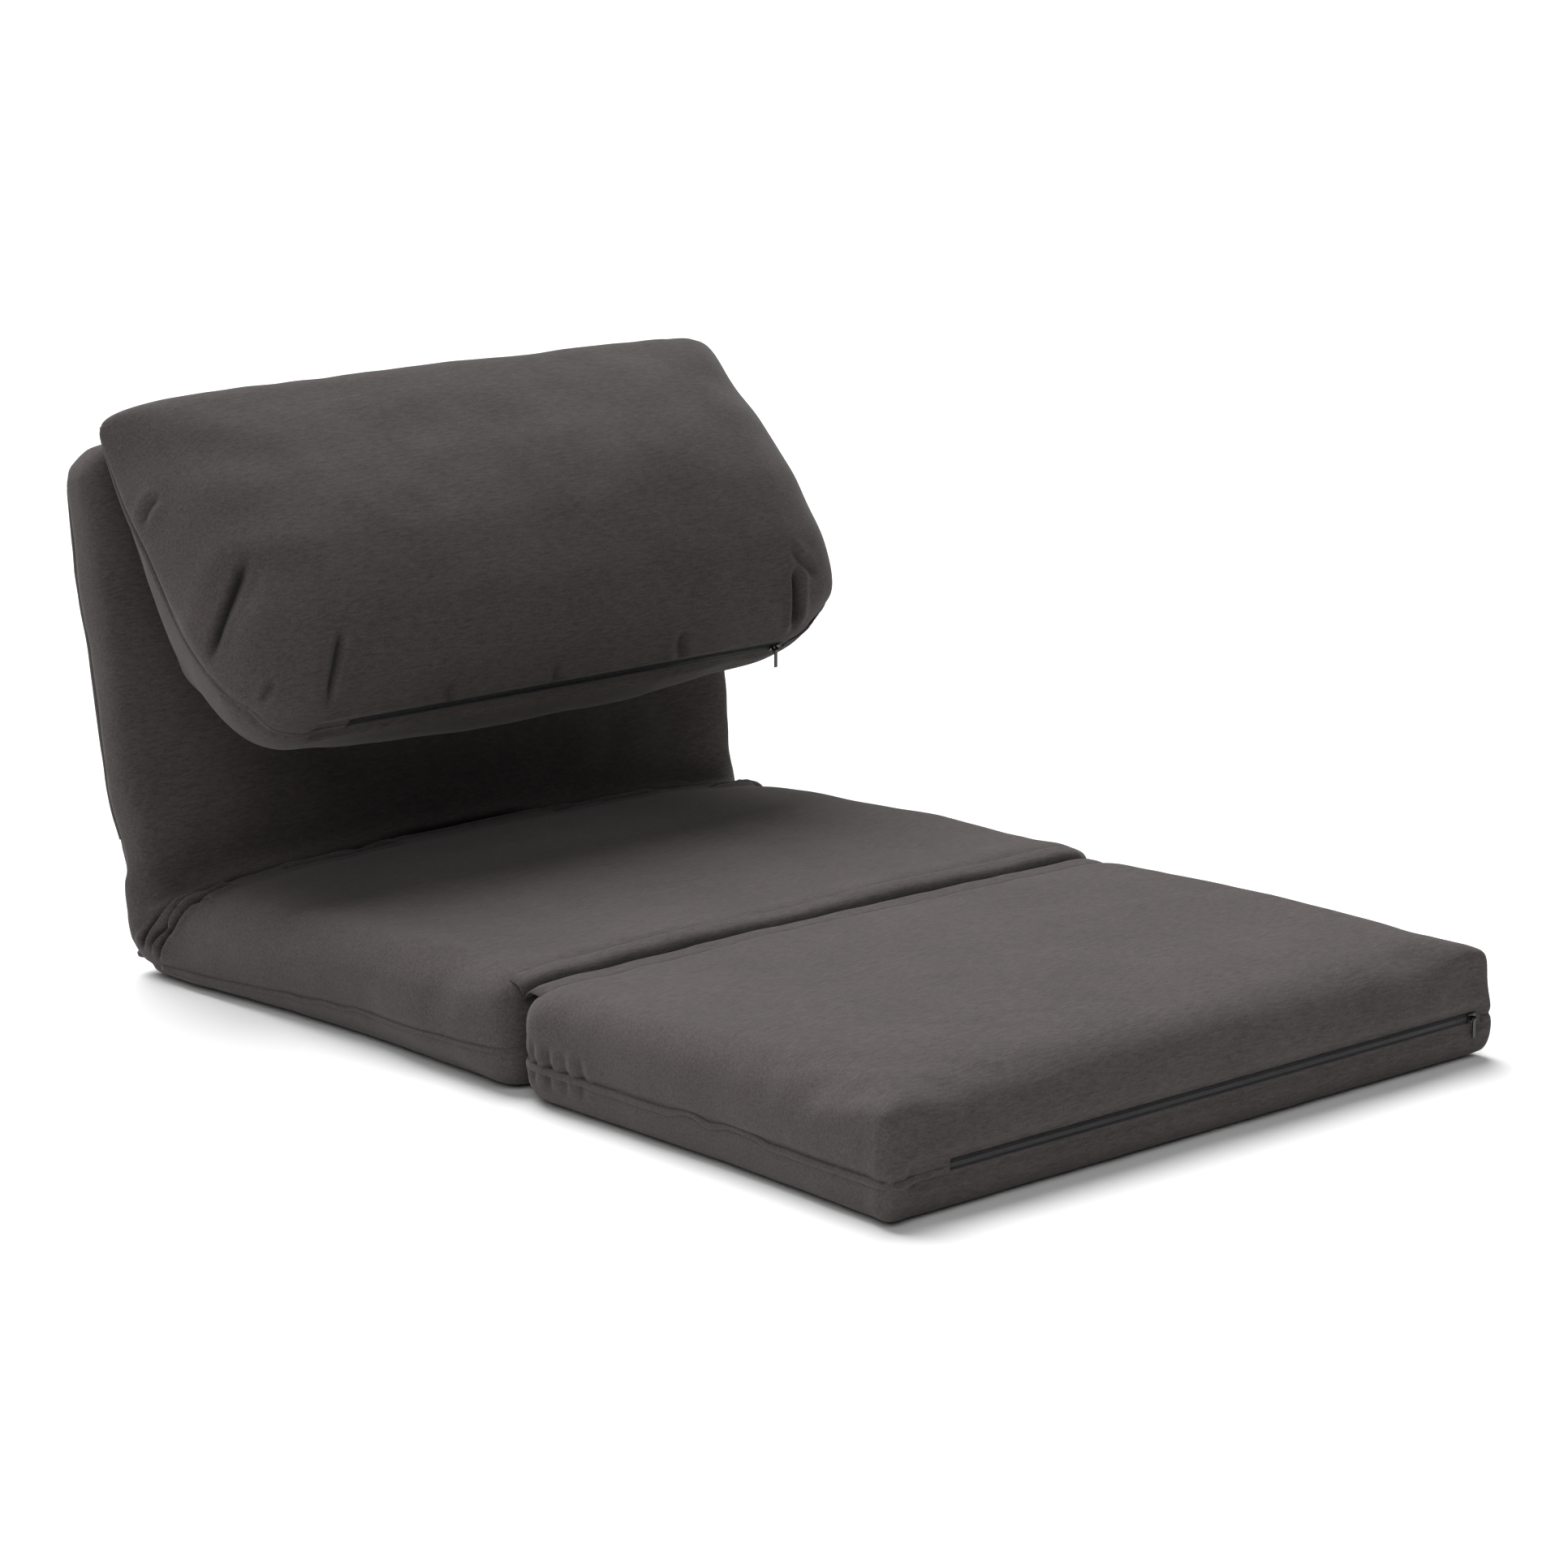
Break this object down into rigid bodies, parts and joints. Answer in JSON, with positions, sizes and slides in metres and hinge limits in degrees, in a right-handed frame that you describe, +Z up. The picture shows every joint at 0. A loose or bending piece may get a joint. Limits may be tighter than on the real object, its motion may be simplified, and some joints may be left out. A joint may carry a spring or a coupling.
{
  "type": "folding floor chair",
  "caption": "Legless floor chair with a padded seat, a reclining back, a head pillow that flips over the back and a footrest that folds onto the seat.",
  "frame": {"origin": "on the floor, midway between the footrest's fold line and the recline axis, on the centre line of the width", "axes": "+Z up, +Y from the footrest towards the back, +X across the chair"},
  "size_m": [0.75, 1.1639, 0.5545],
  "materials": {
    "cloth": "matte",
    "base_cloth": "matte",
    "foam": "matte",
    "tube": "satin",
    "zinc": "satin",
    "zip": "matte",
    "zip_metal": "satin"
  },
  "bodies": {
    "seat": {"seat_cover": "cloth", "seat_base_panel": "base_cloth", "seat_foam": "foam", "seat_frame_tube": "tube", "seat_cross_tube_rear": "tube", "seat_cross_tube_front": "tube", "footrest_fold_strip": "cloth", "hinge_outer_plate_left": "zinc", "hinge_inner_plate_left": "zinc", "pawl_spring_left": "zinc", "pivot_rivet_left": "zinc", "pawl_pin_left": "zinc", "seat_tube_rivet_left_1": "zinc", "seat_tube_rivet_left_2": "zinc", "hinge_outer_plate_right": "zinc", "hinge_inner_plate_right": "zinc", "pawl_spring_right": "zinc", "pivot_rivet_right": "zinc", "pawl_pin_right": "zinc", "seat_tube_rivet_right_1": "zinc", "seat_tube_rivet_right_2": "zinc"},
    "back": {"back_cover_front": "cloth", "back_cover_rear": "cloth", "back_foam": "foam", "back_frame_tube": "tube", "back_cross_tube_low": "tube", "back_cross_tube_high": "tube", "pillow_fold_strip": "cloth", "gear_arm_left": "zinc", "back_tube_rivet_left": "zinc", "gear_arm_right": "zinc", "back_tube_rivet_right": "zinc"},
    "pillow": {"pillow_cover_top": "cloth", "pillow_cover_under": "cloth", "pillow_filling": "foam", "pillow_zip_upper_tape": "zip", "pillow_zip_lower_tape": "zip"},
    "footrest": {"footrest_cover_top": "cloth", "footrest_cover_base": "cloth", "footrest_foam": "foam", "footrest_zip_upper_tape": "zip", "footrest_zip_lower_tape": "zip"},
    "pawl_left": {"pawl_left": "zinc"},
    "pawl_right": {"pawl_right": "zinc"},
    "footrest_slider": {"footrest_zip_slider": "zip_metal"},
    "footrest_pull": {"footrest_zip_pull": "zip_metal"},
    "pillow_slider": {"pillow_zip_slider": "zip_metal"},
    "pillow_pull": {"pillow_zip_pull": "zip_metal"}
  },
  "joints": [
    {"name": "back_recline", "type": "hinge", "parent": "seat", "child": "back", "pos_m": [0, 0.265, 0.0465], "axis": [1, 0, 0], "range_deg": [-77.5, 20]},
    {"name": "footrest_fold", "type": "hinge", "parent": "seat", "child": "footrest", "pos_m": [0, -0.265, 0.108], "axis": [-1, 0, 0], "range_deg": [0, 180]},
    {"name": "pillow_flip", "type": "hinge", "parent": "back", "child": "pillow", "pos_m": [0, 0.37737, 0.51975], "axis": [-1, 0, 0], "range_deg": [0, 165]},
    {"name": "pawl_lift_left", "type": "hinge", "parent": "seat", "child": "pawl_left", "pos_m": [-0.335, 0.22133, 0.05186], "axis": [1, 0, 0], "range_deg": [0, 6.6]},
    {"name": "pawl_lift_right", "type": "hinge", "parent": "seat", "child": "pawl_right", "pos_m": [0.335, 0.22133, 0.05186], "axis": [1, 0, 0], "range_deg": [0, 6.6]},
    {"name": "footrest_zip_slide", "type": "slide", "parent": "footrest", "child": "footrest_slider", "axis": [-1, 0, 0], "range_m": [0, 0.64]},
    {"name": "footrest_zip_pull_swing", "type": "hinge", "parent": "footrest_slider", "child": "footrest_pull", "pos_m": [0.348, -0.7584, 0.041], "axis": [-1, 0, 0], "range_deg": [0, 150]},
    {"name": "pillow_zip_slide", "type": "slide", "parent": "pillow", "child": "pillow_slider", "axis": [-1, 0, 0], "range_m": [0, 0.53]},
    {"name": "pillow_zip_pull_swing", "type": "hinge", "parent": "pillow_slider", "child": "pillow_pull", "pos_m": [0.293, 0.12533, 0.25189], "axis": [-1, 0, 0], "range_deg": [-25, 120]}
  ],
  "couplings": [
    {"joint": "pillow_flip", "follows": "footrest_fold", "ratio": 0.916},
    {"joint": "pawl_lift_right", "follows": "pawl_lift_left", "ratio": 1}
  ]
}
